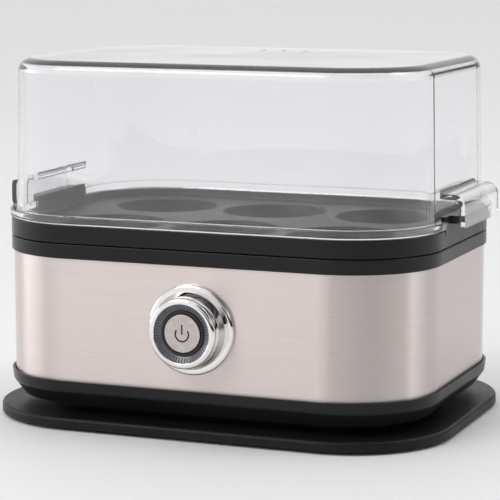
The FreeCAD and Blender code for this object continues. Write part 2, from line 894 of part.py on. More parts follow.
def bent_path(points):
    """Path through points, each corner rounded by an arc as large as its two runs allow."""
    start = points[0]
    edges = []
    for before, here, after in zip(points, points[1:], points[2:]):
        run_in = here - before
        run_out = after - here
        turn = run_in.getAngle(run_out)
        setback = wire_bend_share * min(run_in.Length, run_out.Length)
        radius = setback / math.tan(turn / 2)
        unit_in = V(run_in).normalize()
        unit_out = V(run_out).normalize()
        enter = here - unit_in * setback
        leave = here + unit_out * setback
        inward = (unit_out - unit_in).normalize()
        middle = here + inward * (radius / math.cos(turn / 2) - radius)
        edges.append(Part.LineSegment(start, enter).toShape())
        edges.append(Part.Arc(enter, middle, leave).toShape())
        start = leave
    edges.append(Part.LineSegment(start, points[-1]).toShape())
    return Part.Wire(edges)


def wire_along(points, r):
    return sweep(bent_path(points), r)


def below(point, drop):
    return V(point.x, point.y, point.z - drop)


def block_wire_end(x):
    return V(x, block_y0 + block_screw_inset + block_screw_r, plate_top + block_bore_h)


def switch_tag_end(x):
    return V(knob_x + x, switch_tag_y(), knob_z - switch_half_z - tag_h)


def stat_tag_end(x):
    return V(x, 0, bracket_top() - stat_base_h - tag_h)


def pin_end(x):
    return V(x, heater_half_y, heater_leg_z() - bush_h - pin_h)


def live_wire():
    """From the terminal block's left pole forward to the switch's right tag."""
    start = block_wire_end(-block_pole_x)
    end = switch_tag_end(switch_tag_x)
    return wire_along([start, V(start.x, start.y - live_run, start.z), below(end, wire_drop), end], wire_r)


def switch_wire():
    """From the switch's left tag back to the thermostat's left tag."""
    start = switch_tag_end(-switch_tag_x)
    end = stat_tag_end(-stat_tag_x)
    low = below(start, wire_drop)
    under = below(end, wire_drop)
    side = V(switch_wire_x, (low.y + under.y) / 2, (low.z + under.z) / 2)
    return wire_along([start, low, side, under, end], wire_r)


def neutral_wire():
    """From the terminal block's right pole round to the right heater pin."""
    start = block_wire_end(block_pole_x)
    end = pin_end(heater_leg_x)
    turn_y = start.y - neutral_run
    low = below(end, pin_wire_drop)
    return wire_along([start, V(start.x, turn_y, start.z), V(neutral_x, turn_y, start.z),
                       V(neutral_x, low.y - bush_r, start.z + neutral_rise), low, end], wire_r)


def fuse_end(side):
    return V(side * fuse_half, -fuse_y, fuse_z())


def thermostat_wire():
    """From the thermostat's right tag round the bracket's end to the fuse's right end."""
    start = stat_tag_end(stat_tag_x)
    end = fuse_end(1)
    low = below(start, stat_wire_drop)
    return wire_along([start, low, V(neutral_x, -fuse_y / 3, low.z),
                       V(side_wire_x, -fuse_y, (low.z + end.z) / 2),
                       V(side_wire_x, end.y, end.z), end], wire_r)


def heater_link_wire():
    """From the fuse's left end round the bracket's end to the left heater pin."""
    start = fuse_end(-1)
    end = pin_end(-heater_leg_x)
    low = below(end, pin_wire_drop)
    bend_y = (start.y + end.y) / 2
    return wire_along([start, V(-side_wire_x, start.y, start.z),
                       V(-side_wire_x - wire_r, bend_y, (start.z + end.z) / 2),
                       V(-side_wire_x, low.y - bush_r, low.z + wire_drop / 2), low, end], wire_r)


# Knob

def bezel_flange():
    """Chrome ring that lies on the steel."""
    ring = knob_tube(flange_r, collar_r - collar_edge_r, 0, flange_h)
    return ring.makeFillet(flange_edge_r, circles_at(ring, flange_h, flange_r))


def bezel_sleeve():
    """Chrome sleeve with a flared foot, and a neck that goes through the panel."""
    foot = flange_h + collar_h
    body = knob_turned([(knob_bore_r, knob_reach), (knob_r, knob_reach), (knob_r, foot + flare_h),
                        (collar_r, foot), (collar_r, flange_h), (neck_r, flange_h),
                        (neck_r, -neck_length), (knob_bore_r, -neck_length)])
    body = body.makeFillet(knob_edge_r, circles_at(body, knob_reach, knob_r))
    body = body.makeFillet(knob_lip_r, circles_at(body, knob_reach, knob_bore_r))
    return body.makeFillet(collar_edge_r, circles_at(body, foot, collar_r))


def bezel_nut():
    d1 = -steel_t - bracket_plate_t
    d0 = d1 - nut_t
    corner = nut_r / math.cos(math.pi / nut_flats)
    points = []
    for i in range(nut_flats + 1):
        a = 2 * math.pi * i / nut_flats
        points.append(knob_point(d1, corner * math.cos(a), corner * math.sin(a)))
    nut = Part.Face(Part.makePolygon(points)).extrude(BACK * nut_t)
    nut = nut.common(knob_rod(nut_r * 1.07, d0, d1))
    return nut.cut(knob_rod(neck_r + thread_gap, d0 - overrun, d1 + overrun))


def dial_front():
    return knob_reach - dial_drop


def dial_ring():
    """Dark ring in the sleeve that slopes inward to the light ring, with fine ridges round its rim."""
    outer_r = knob_bore_r - insert_fit
    rim_depth = knob_reach - dial_rim_drop
    back = dial_front() - dial_t
    ring = knob_turned([(dial_bore_r, dial_front()), (outer_r, rim_depth), (outer_r, back),
                        (dial_bore_r, back)])
    slope = (rim_depth - dial_front()) / (outer_r - dial_bore_r)
    cutters = []
    for i in range(dial_ridge_count):
        a = 2 * math.pi * i / dial_ridge_count
        ends = []
        for r in (outer_r - dial_ridge_in, outer_r + overrun):
            ends.append(knob_point(rim_depth + slope * (r - outer_r), r * math.cos(a), r * math.sin(a)))
        along = ends[1] - ends[0]
        cutters.append(Part.makeCylinder(dial_ridge_r, along.Length, ends[0], along))
    return ring.cut(cutters)


def light_front():
    return knob_reach - light_drop


def board_front():
    return light_front() - light_h


def lamp_angles():
    return [math.radians(45) + 2 * math.pi * i / lamp_count for i in range(lamp_count)]


def lamp_block(angle, gap):
    """Small block on the lamp board, under the light ring, grown by a gap."""
    r = (light_bore_r + dial_bore_r) / 2
    half = lamp_w / 2 + gap
    d0 = board_front()
    centre = knob_point(0, r * math.cos(angle), r * math.sin(angle))
    block = box(centre.x - half, centre.x + half, front_y - d0 - lamp_h - gap, front_y - d0 + gap,
                centre.z - half, centre.z + half)
    return block


def light_ring():
    outer_r = dial_bore_r - insert_fit
    ring = knob_tube(outer_r, light_bore_r, board_front(), light_front())
    ring = ring.makeFillet(light_edge_r, circles_at(ring, light_front(), outer_r))
    return ring.cut([lamp_block(a, lamp_gap) for a in lamp_angles()])


def lamp_board():
    d1 = board_front()
    return knob_tube(knob_bore_r - insert_fit, board_bore_r, d1 - board_t, d1)


def lamps():
    return group([lamp_block(a, 0) for a in lamp_angles()])


def guide_front():
    return board_front() - board_t


def button_guide():
    """Black bush inside the sleeve that guides the button's stem and holds its spring."""
    d1 = guide_front()
    d0 = d1 - guide_length
    body = knob_rod(knob_bore_r - insert_fit, d0, d1)
    cuts = [knob_rod(stem_r + stem_fit, d0 - overrun, d1 + overrun),
            knob_rod(guide_pocket_r, d0 + guide_pocket_floor, d1 + overrun)]
    cuts += [knob_rod(lamp_wire_r + guide_wire_gap, d0 - overrun, d1 + overrun, x)
             for x in (-guide_wire_x, guide_wire_x)]
    return body.cut(cuts)


# Button

def button_front():
    return knob_reach - button_drop


def symbol_shape(d0, d1):
    """Power symbol: an open ring with a bar through its gap, between two depths."""
    half = symbol_line / 2
    ring = knob_rod(symbol_r + half, d0, d1, 0, -symbol_drop).cut(
        knob_rod(symbol_r - half, d0 - overrun, d1 + overrun, 0, -symbol_drop))
    spread = symbol_r * 2 * math.tan(math.radians(symbol_open_deg / 2))
    top = [knob_point(d1 + overrun, 0, -symbol_drop),
           knob_point(d1 + overrun, spread, 2 * symbol_r - symbol_drop),
           knob_point(d1 + overrun, -spread, 2 * symbol_r - symbol_drop)]
    wedge = Part.Face(Part.makePolygon(top + top[:1])).extrude(BACK * (d1 - d0 + 2 * overrun))
    open_ring = ring.cut(wedge)
    bar = box(knob_x - half, knob_x + half, front_y - d1, front_y - d0,
              knob_z - symbol_drop, knob_z - symbol_drop + symbol_up)
    return [open_ring, bar]


def button_cap():
    d1 = button_front()
    cap = knob_rod(button_r, d1 - button_skirt, d1)
    cap = cap.makeFillet(button_edge_r, circles_at(cap, d1, button_r))
    hollow = knob_rod(button_r - button_skirt_t, d1 - button_skirt - overrun, d1 - button_skin)
    notch = knob_rod(button_notch_r, d1 - button_skin / 2, d1 + overrun, 0, -button_r)
    return cap.cut([hollow, notch] + symbol_shape(d1 - symbol_depth, d1 + overrun))


def power_symbol():
    d1 = button_front()
    return group(symbol_shape(d1 - symbol_depth, d1))


def stem_head_back():
    return button_front() - button_skin - stem_head_t


def stem_end():
    return guide_front() - guide_length - stem_tail


def button_stem():
    head_r = button_r - button_skirt_t - insert_fit
    head = knob_rod(head_r, stem_head_back(), button_front() - button_skin)
    stem = knob_rod(stem_r, stem_end(), stem_head_back())
    groove = knob_tube(stem_r + overrun, stem_r - clip_t, clip_depth() - clip_t - clip_gap / 2,
                       clip_depth() + clip_gap / 2)
    return join([head, stem]).cut(groove)


def clip_depth():
    """Depth of the clip's front face, close behind the guide."""
    return guide_front() - guide_length - clip_gap


def button_clip():
    clip = knob_tube(clip_r, stem_r - clip_t + thread_gap, clip_depth() - clip_t, clip_depth())
    mouth = box(knob_x - clip_mouth / 2, knob_x + clip_mouth / 2, front_y - clip_depth() - overrun,
                front_y - clip_depth() + clip_t + overrun, knob_z - clip_r - overrun, knob_z)
    return clip.cut(mouth)


def bend(disc, start, corner, end):
    """Side of the round wire that a disc sweeps along the arc that the corner's two lines touch."""
    middle = (start + end) / 2
    towards = corner - middle
    half = (end - start) / 2
    turn = 2 * math.atan2(towards.Length, half.Length)
    centre = middle - towards * (half.dot(half) / towards.dot(towards))
    swept = disc.revolve(centre, towards.cross(half), math.degrees(turn))
    return swept.Faces[0]


def coil(radius, pitch, turns, wire):
    """Round wire wound up the Z axis in smooth arcs, two to each quarter turn."""
    quarter = math.pi / 2
    places = []
    for k in range(4 * turns + 1):
        a = k * quarter
        places.append((V(radius * math.cos(a), radius * math.sin(a), pitch * k / 4),
                       V(-radius * math.sin(a), radius * math.cos(a), pitch / (4 * quarter)).normalize()))
    sides = []
    for (p0, t0), (p1, t1) in zip(places, places[1:]):
        chord = p1 - p0
        along = chord.dot(t0 + t1)
        twist = 2 * (1 - t0.dot(t1))
        reach = (math.sqrt(along ** 2 + twist * chord.dot(chord)) - along) / twist
        c0 = p0 + t0 * reach
        c1 = p1 - t1 * reach
        joint = (c0 + c1) / 2
        heading = (c1 - c0).normalize()
        sides.append(bend(Part.Circle(p0, t0, wire).toShape(), p0, c0, joint))
        sides.append(bend(Part.Circle(joint, heading, wire).toShape(), joint, c1, p1))
    ends = [Part.Face(Part.Wire(Part.Circle(p, t, wire).toShape())) for p, t in (places[0], places[-1])]
    shell = Part.Shell(sides + ends)
    shell.sewShape()
    return Part.Solid(shell)


def return_spring():
    """Coil between the guide's pocket and the back of the stem's head."""
    d0 = guide_front() - guide_length + guide_pocket_floor
    d1 = stem_head_back()
    length = d1 - d0 - 2 * spring_wire_r
    spring = coil(spring_r, length / spring_turns, spring_turns, spring_wire_r)
    spring.rotate(V(0, 0, 0), V(1, 0, 0), 90)
    spring.translate(knob_point(d0 + spring_wire_r))
    gap = length / spring_turns - 2 * spring_wire_r
    print("spring: least gap between turns", round(gap, 2), "valid", spring.isValid(),
          "volume", round(spring.Volume, 2))
    return spring


# Switch

def switch_front_y():
    return front_y - stem_end() + switch_front_gap


def switch_tag_y():
    return switch_front_y() + switch_length / 2


def switch_bracket():
    """Plate clamped behind the steel by the nut, with two arms and a back wall for the switch."""
    y0 = front_y + steel_t
    y1 = y0 + bracket_plate_t
    plate = box(knob_x - bracket_plate_half_x, knob_x + bracket_plate_half_x, y0, y1,
                knob_z - bracket_plate_half_z, knob_z + bracket_plate_half_z)
    corner_edges = [e for e in plate.Edges if abs(e.BoundBox.YLength - bracket_plate_t) < near]
    plate = plate.makeFillet(bracket_corner_r, corner_edges)
    back0 = switch_front_y() + switch_length
    back1 = back0 + arm_t
    arms = []
    for side in (-1, 1):
        inner = knob_x + side * arm_in
        outer = inner + side * arm_t
        arms.append(box(min(inner, outer), max(inner, outer), y0, back1,
                        knob_z - arm_half_z, knob_z + arm_half_z))
    wall = box(knob_x - arm_in - arm_t, knob_x + arm_in + arm_t, back0, back1,
               knob_z - arm_half_z, knob_z + arm_half_z)
    cuts = [knob_rod(neck_r + panel_hole_gap, -steel_t - bracket_plate_t - overrun, 0)]
    cuts += [Part.makeCylinder(tiny_screw_r + tie_hole_gap, arm_t + 2 * overrun,
                               V(knob_x + x, back0 - overrun, knob_z), BACK) for x in switch_screw_places()]
    return join([plate, wall] + arms).cut(cuts)


def switch_screw_places():
    return (-switch_screw_x, switch_screw_x)


def switch_body():
    y0 = switch_front_y()
    y1 = y0 + switch_length
    body = box(knob_x - switch_half_x, knob_x + switch_half_x, y0, y1,
               knob_z - switch_half_z, knob_z + switch_half_z)
    body = body.makeFillet(switch_edge_r, [e for e in body.Edges
                                           if abs(e.BoundBox.YLength - switch_length) < near])
    depth = plunger_in + button_travel + plunger_spare
    cuts = [Part.makeCylinder(plunger_r + plunger_fit, depth + overrun,
                              V(knob_x, y0 - overrun, knob_z), BACK)]
    cuts += [Part.makeCylinder(tiny_screw_r + thread_gap, switch_screw_grip + overrun,
                               V(knob_x + x, y1 - switch_screw_grip - thread_gap, knob_z), BACK)
             for x in switch_screw_places()]
    return body.cut(cuts)


def switch_plunger():
    y0 = front_y - stem_end()
    return Part.makeCylinder(plunger_r, switch_front_y() + plunger_in - y0, V(knob_x, y0, knob_z), BACK)


def switch_tags():
    return group([tag(knob_x + x, switch_tag_y(), knob_z - switch_half_z, True)
                  for x in (-switch_tag_x, switch_tag_x)])


def switch_screws():
    y1 = switch_front_y() + switch_length + arm_t
    screws = []
    for x in switch_screw_places():
        head = Part.makeCylinder(tiny_head_r, tiny_head_h, V(knob_x + x, y1, knob_z), BACK)
        shank = Part.makeCylinder(tiny_screw_r, arm_t + switch_screw_grip,
                                  V(knob_x + x, y1 - arm_t - switch_screw_grip, knob_z), BACK)
        screws.append(join([head, shank]))
    return group(screws)


def lamp_wires():
    """Two thin wires from the lamp board back through the guide, then down to the switch's tags."""
    wires = []
    for side in (-1, 1):
        start = knob_point(guide_front(), side * guide_wire_x)
        behind = V(start.x, front_y - stem_end(), start.z)
        level = knob_z - switch_half_z - tag_h * 0.7
        end = V(knob_x + side * (switch_tag_x + tag_t / 2), switch_tag_y(), level)
        beside = V(knob_x + side * (switch_half_x + 4 * lamp_wire_r), end.y, level)
        slope = V(beside.x, (behind.y + beside.y) / 2, (start.z + level) / 2 - lamp_wire_r)
        wires.append(wire_along([start, behind, slope, beside, end], lamp_wire_r))
    return group(wires)


# Egg tray

def cup_places():
    columns = [(i - (cup_columns - 1) / 2) * cup_pitch_x for i in range(cup_columns)]
    rows = [(j - (cup_rows - 1) / 2) * cup_pitch_y for j in range(cup_rows)]
    return [(x, y) for x in columns for y in rows]


def cup_centre_z():
    return deck_top + cup_rise


def cup_mouth_r():
    return math.sqrt(cup_ball_r ** 2 - cup_rise ** 2)


def cup_ball(x, y, grow):
    return Part.makeSphere(cup_ball_r + grow, V(x, y, cup_centre_z()))


def egg_cups():
    """Round cups under the deck, each the lower part of a ball with a drain hole in its bottom."""
    cups = []
    for x, y in cup_places():
        bottom = cup_centre_z() - math.sqrt(cup_ball_r ** 2 - cup_drain_r ** 2) - cup_wall_t / 2
        reach = cup_ball_r + 2 * cup_wall_t
        below_deck = box(x - reach, x + reach, y - reach, y + reach, bottom, deck_bottom)
        ball = cup_ball(x, y, cup_wall_t).common(below_deck)
        drain = post(x, y, cup_drain_r, bottom - overrun, deck_bottom)
        cups.append(ball.cut([cup_ball(x, y, 0), drain]))
    return group(cups)


def ear(side):
    """Raised side wall with a tab that a finger can lift the tray by."""
    outer = half_x + band_over
    wall = box(outer - tray_rim_t, outer, -ear_half, ear_half, deck_bottom, ear_top)
    tab = box(outer - tray_rim_t, outer + tab_reach, -tab_half, tab_half, ear_top - tab_t, ear_top)
    upright = [e for e in tab.Edges if abs(e.BoundBox.ZLength - tab_t) < near and e.BoundBox.XMin > outer]
    tab = tab.makeFillet(tab_corner_r, upright)
    rim = [e for e in tab.Edges if e.BoundBox.XMax > outer + tab_corner_r / 2
           and e.BoundBox.ZLength < near and abs(e.BoundBox.ZMin - ear_top + tab_t) < near]
    tab = tab.makeFillet(tab_edge_r, rim)
    piece = wall.fuse(tab)
    return piece if side > 0 else piece.mirror(V(0, 0, 0), V(1, 0, 0))


def tray_deck():
    """Flat deck inside the tray's band, with the cups' mouths and a skirt below that centres the tray."""
    deck = body_block(band_over - tray_rim_t, deck_bottom, deck_top)
    skirt = body_ring(-tray_skirt_in, -tray_skirt_in - tray_skirt_t, deck_bottom - tray_skirt_h,
                      deck_bottom + overrun)
    deck = join([deck, skirt]).cut([cup_ball(x, y, 0) for x, y in cup_places()])
    mouths = edges_at(deck, deck_top, lambda e: hasattr(e.Curve, "Radius")
                      and abs(e.Curve.Radius - cup_mouth_r()) < near)
    return deck.makeFillet(cup_edge_r, mouths)


def egg_tray():
    """Band of the tray round its deck, with two raised side walls and their lift tabs."""
    rim = body_block(band_over, tray_bottom, tray_top)
    rim = rim.makeFillet(tray_edge_r, edges_at(rim, tray_top) + edges_at(rim, tray_bottom))
    cuts = [body_block(band_over - tray_rim_t, tray_bottom - overrun, tray_top + overrun)]
    for side in (-1, 1):
        for end in (-1, 1):
            y0 = end * (ear_half + ear_notch_w / 2) - ear_notch_w / 2
            x0, x1 = sorted((side * (half_x - tray_rim_t), side * (half_x + tray_rim_t)))
            cuts.append(box(x0, x1, y0, y0 + ear_notch_w, tray_top - ear_notch_h, tray_top + overrun))
    return join([rim.cut(cuts), ear(1), ear(-1)])


# Lid

def lid_grow(z):
    """How far the lid's outer wall stands from the body's outline, at height z."""
    return -lid_wall_in - lid_draft * (z - lid_bottom) / lid_h


def handle(side):
    """Canopy over the tray's ear, open at both ends and below."""
    z0 = lid_bottom + handle_lip
    z1 = lid_bottom + handle_top
    wall_x = half_x + lid_grow(z1) - lid_wall_t / 2
    block = box(wall_x, handle_x, -handle_half, handle_half, z0, z1)
    top_edge = [e for e in block.Edges if e.BoundBox.XMin > handle_x - near
                and abs(e.BoundBox.ZMin - z1) < near and e.BoundBox.ZLength < near]
    block = block.makeFillet(handle_round, top_edge)
    tips = [e for e in block.Edges if e.BoundBox.XMin > wall_x - near and e.BoundBox.YLength < near
            and abs(e.BoundBox.ZMin - z0) < near and e.BoundBox.ZLength < near]
    block = block.makeFillet(handle_tip_r, tips)
    inner = box(wall_x - overrun, handle_x - handle_t, -handle_half - overrun, handle_half + overrun,
                z0 - overrun, z1 - handle_t)
    inner_edge = [e for e in inner.Edges if abs(e.BoundBox.XMin - handle_x + handle_t) < near
                  and abs(e.BoundBox.ZMin - z1 + handle_t) < near]
    inner = inner.makeFillet(handle_inner_round, inner_edge)
    piece = block.cut(inner)
    return piece if side > 0 else piece.mirror(V(0, 0, 0), V(1, 0, 0))


def lid():
    flange_top_z = lid_bottom + lid_flange_h
    skirt_bottom = lid_bottom - lid_skirt_h
    shell = Part.makeLoft([body_wire(lid_grow(skirt_bottom), skirt_bottom),
                           body_wire(lid_grow(lid_top), lid_top)], True, True)
    shell = shell.makeFillet(lid_round, edges_at(shell, lid_top))
    flange = body_block(lid_flange_over, lid_bottom, flange_top_z)
    flange_edges = edges_at(flange, flange_top_z) + edges_at(flange, lid_bottom)
    flange = flange.makeFillet(lid_flange_edge_r, flange_edges)
    side_cuts = []
    for side in (-1, 1):
        x0, x1 = sorted((side * (half_x - lid_wall_in - lid_wall_t / 2),
                         side * (half_x + 2 * lid_flange_over)))
        side_cuts.append(box(x0, x1, -ear_half, ear_half, lid_bottom - overrun, flange_top_z + overrun))
    flange = flange.cut(side_cuts)
    inner_top = lid_top - lid_top_t
    inner = Part.makeLoft([body_wire(lid_grow(skirt_bottom - overrun) - lid_wall_t, skirt_bottom - overrun),
                           body_wire(lid_grow(inner_top) - lid_wall_t, inner_top)], True, True)
    inner = inner.makeFillet(lid_inner_round, edges_at(inner, inner_top))
    vents = []
    for i in range(vent_count):
        x = (i - (vent_count - 1) / 2) * vent_pitch
        vents.append(post(x, vent_y, vent_r, inner_top - overrun, lid_top + overrun))
    cover = join([shell, flange, handle(1), handle(-1)])
    handle_z = lid_bottom + handle_top
    roots = edges_at(cover, handle_z, lambda e: e.BoundBox.XLength < near
                     and abs(e.BoundBox.XMin) < half_x and e.BoundBox.YLength > handle_half)
    return cover.makeFillet(handle_root_r, roots).cut([inner] + vents)


# Every piece by name, in the order that it goes together

PIECES = {
    "rubber_feet": rubber_feet,
    "base_plate": base_plate,
    "base_screws": base_screws,
    "bottom_bowl": bottom_bowl,
    "cable_grommet": cable_grommet,
    "cord_clamp": cord_clamp,
    "clamp_screws": clamp_screws,
    "terminal_block": terminal_block,
    "terminal_screws": terminal_screws,
    "tie_screws": tie_screws,
    "steel_wrap": steel_wrap,
    "upper_frame": upper_frame,
    "pan_seal": pan_seal,
    "heating_pan": heating_pan,
    "heater_tube": heater_tube,
    "heater_bushes": heater_bushes,
    "heater_pins": heater_pins,
    "thermostat": thermostat,
    "thermostat_tags": thermostat_tags,
    "thermostat_bracket": thermostat_bracket,
    "bracket_screws": bracket_screws,
    "thermal_fuse": thermal_fuse,
    "live_wire": live_wire,
    "switch_wire": switch_wire,
    "neutral_wire": neutral_wire,
    "thermostat_wire": thermostat_wire,
    "heater_link_wire": heater_link_wire,
    "bezel_flange": bezel_flange,
    "bezel_sleeve": bezel_sleeve,
    "bezel_nut": bezel_nut,
    "dial_ring": dial_ring,
    "light_ring": light_ring,
    "lamp_board": lamp_board,
    "lamps": lamps,
    "lamp_wires": lamp_wires,
    "button_guide": button_guide,
    "button_cap": button_cap,
    "power_symbol": power_symbol,
    "button_stem": button_stem,
    "button_clip": button_clip,
    "return_spring": return_spring,
    "switch_bracket": switch_bracket,
    "switch_body": switch_body,
    "switch_plunger": switch_plunger,
    "switch_tags": switch_tags,
    "switch_screws": switch_screws,
    "egg_tray": egg_tray,
    "tray_deck": tray_deck,
    "egg_cups": egg_cups,
    "lid": lid,
}


def main():
    os.makedirs("parts", exist_ok=True)
    for name, make in PIECES.items():
        shape = make()
        shape.translate(V(0, origin_shift, 0))
        shape.exportStep("parts/" + name + ".step")
        size = shape.BoundBox
        print(name, "solids", len(shape.Solids), "valid", shape.isValid(), "volume", round(shape.Volume, 1),
              "size", round(size.XLength, 1), round(size.YLength, 1), round(size.ZLength, 1))


main()
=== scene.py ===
import math

import bmesh
import bpy
from mathutils import Matrix, Vector


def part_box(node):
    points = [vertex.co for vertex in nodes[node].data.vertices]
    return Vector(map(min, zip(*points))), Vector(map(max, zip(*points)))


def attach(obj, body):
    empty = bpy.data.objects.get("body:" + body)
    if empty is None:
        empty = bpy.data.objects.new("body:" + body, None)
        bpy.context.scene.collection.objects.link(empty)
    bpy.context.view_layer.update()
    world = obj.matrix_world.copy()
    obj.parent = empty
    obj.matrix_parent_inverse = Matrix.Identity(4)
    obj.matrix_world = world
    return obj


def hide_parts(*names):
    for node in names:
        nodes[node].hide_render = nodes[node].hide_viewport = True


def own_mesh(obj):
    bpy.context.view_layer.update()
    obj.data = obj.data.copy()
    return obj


# A six-cup egg steamer in a plain studio. Metres, Z up, the knob faces -Y.

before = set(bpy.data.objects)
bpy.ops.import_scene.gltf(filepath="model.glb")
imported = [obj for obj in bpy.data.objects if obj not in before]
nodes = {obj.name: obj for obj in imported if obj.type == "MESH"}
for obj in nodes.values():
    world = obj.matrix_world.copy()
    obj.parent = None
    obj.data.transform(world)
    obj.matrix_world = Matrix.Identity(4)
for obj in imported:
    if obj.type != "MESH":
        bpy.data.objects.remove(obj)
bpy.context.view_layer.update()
MM = 0.001

# Camera, as fitted to the photograph
TURN, RISE = math.radians(21.659), math.radians(8.507)
DISTANCE, ASIDE, AIM_HEIGHT = 859.564 * MM, -0.511 * MM, 61.835 * MM
FOCAL_PIXELS, PHOTO_PIXELS = 2193.8, 500
SENSOR_MM = 36
CLIP = (0.05, 30)

# Both lamps aim at this point, in the body's middle
LAMP_TARGET = (0, 0, 0.07)

# Surround: angle in degrees, level and warmth. 0 degrees is straight in front, growing to the right.
STOPS = ((-180, 0.86, 0.0), (-140, 0.86, 0.0), (-110, 1.1, 0.0), (-90, 4.2, 0.0), (-76, 2.9, 0.0),
         (-52, 0.9, 0.01), (-18, 1.1, 0.015), (-4, 0.02, 0.0), (90, 0.02, 0.0), (103, 2.1, 0.0),
         (113, 1.1, 0.0), (134, 0.2, 0.0), (165, 0.2, 0.0), (180, 0.86, 0.0))
# It fades into an even overhead light between these heights of a direction, where 1 is straight up.
FADE_LOW, FADE_HIGH = 0.14, 0.38
OVERHEAD = (0.9, 0.9, 0.91, 1)
# A dark panel: its direction, the angles at which it starts and is full, and its colour
PANEL_AIM = Vector((0.535, -0.481, 0.695)).normalized()
PANEL_EDGE, PANEL_CORE = math.radians(28), math.radians(17)
PANEL = (0.03, 0.028, 0.027, 1)

# Floor
FLOOR_RADIUS = 9.0
FLOOR_SIDES = 96
FLOOR_DROP = 0.0002
FLOOR_LOW, FLOOR_MEAN, FLOOR_HIGH = (0.87, 0.866, 0.866), (0.88, 0.875, 0.875), (0.89, 0.886, 0.886)

# Colour sockets of a Mix node
MIX_A, MIX_B, MIX_RESULT = 6, 7, 2

# Edges that are sharper than this stay sharp
SHARP_DEGREES = 32


# Nodes

def feed(tree, socket, value):
    """Links a value's socket to the socket, or sets the value on it."""
    if isinstance(value, bpy.types.NodeSocket):
        tree.links.new(value, socket)
    else:
        socket.default_value = value


def maths(tree, how, a, b):
    made = tree.nodes.new("ShaderNodeMath")
    made.operation = how
    feed(tree, made.inputs[0], a)
    feed(tree, made.inputs[1], b)
    return made.outputs[0]


def spread(tree, value, low, high, to=(0.0, 1.0), kind="LINEAR"):
    """Maps low and high onto the two ends of to."""
    made = tree.nodes.new("ShaderNodeMapRange")
    made.interpolation_type = kind
    feed(tree, made.inputs["Value"], value)
    made.inputs["From Min"].default_value = low
    made.inputs["From Max"].default_value = high
    made.inputs["To Min"].default_value, made.inputs["To Max"].default_value = to
    return made.outputs["Result"]


def mix_colours(tree, share, a, b):
    made = tree.nodes.new("ShaderNodeMix")
    made.data_type = "RGBA"
    feed(tree, made.inputs["Factor"], share)
    feed(tree, made.inputs[MIX_A], a)
    feed(tree, made.inputs[MIX_B], b)
    return made.outputs[MIX_RESULT]


def scaled(colour, factor, lift=0.0):
    """The colour times the factor, plus lift, no brighter than white."""
    return tuple(min(1, c * factor + lift) for c in colour)


class Material:
    """A principled material whose nodes are added one call at a time."""

    def __init__(self, name, colour, rough, **sockets):
        self.data = bpy.data.materials.new(name)
        self.data.use_nodes = True
        self.tree = self.data.node_tree
        self.shader = self.tree.nodes["Principled BSDF"]
        self.out = self.tree.nodes["Material Output"]
        self.put("Base Color", colour)
        self.put("Roughness", rough)
        for key, value in sockets.items():
            self.put(key.replace("_", " "), value)
        self.normal = None

    def put(self, socket, value):
        feed(self.tree, self.shader.inputs[socket], (*value, 1) if isinstance(value, tuple) else value)

    def node(self, kind, **inputs):
        made = self.tree.nodes.new("ShaderNode" + kind)
        for key, value in inputs.items():
            feed(self.tree, made.inputs[key], value)
        return made

    def place(self, scale=(1, 1, 1), turn=(0, 0, 0), shift=(0, 0, 0)):
        """Place on the piece in metres, stretched by a scale."""
        where = self.node("TexCoord").outputs["Object"]
        mapped = self.node("Mapping", Vector=where, Scale=scale, Rotation=turn, Location=shift)
        return mapped.outputs["Vector"]

    def noise(self, scale, detail, rough=0.55, stretch=(1, 1, 1), shift=(0, 0, 0)):
        """Noise whose scale is about its number of spots per metre."""
        return self.node("TexNoise", Vector=self.place(stretch, shift=shift), Scale=scale, Detail=detail,
                         Roughness=rough).outputs["Fac"]

    def ramp(self, fac, low, high, start=0.3, end=0.7):
        """A value or colour that goes from low to high as fac goes from start to end."""
        if isinstance(low, tuple):
            return mix_colours(self.tree, spread(self.tree, fac, start, end), (*low, 1), (*high, 1))
        return spread(self.tree, fac, start, end, (low, high))

    def bump(self, height, distance, strength=1.0):
        """Adds relief whose height is distance in metres."""
        made = self.node("Bump", Height=height, Distance=distance, Strength=strength)
        if self.normal:
            self.tree.links.new(self.normal, made.inputs["Normal"])
        self.normal = made.outputs["Normal"]
        self.put("Normal", self.normal)

    def give(self, *names):
        for name in names:
            slots = nodes[name].data.materials
            for i in range(len(slots)):
                slots[i] = self.data
            if not slots:
                slots.append(self.data)


# Kinds of material

def moulded(name, colour, rough, grain=0.000006, clear=0.0, gloss=0.5):
    """Moulded plastic: fine spark texture, a slow waviness and a little handling shine."""
    m = Material(name, colour, rough, IOR=1.5, Specular_IOR_Level=gloss, Coat_Weight=clear,
                 Coat_Roughness=0.12)
    handled = m.noise(scale=34, detail=4, rough=0.6)
    mottle = m.noise(scale=11, detail=3)
    m.put("Base Color", m.ramp(mottle, colour, scaled(colour, 1.5, 0.004), end=0.75))
    m.put("Roughness", m.ramp(handled, rough - 0.05, rough + 0.07))
    m.bump(m.noise(scale=2600, detail=2, rough=0.5), grain)
    m.bump(m.noise(scale=18, detail=2, rough=0.4), 0.00012, strength=0.35)
    return m


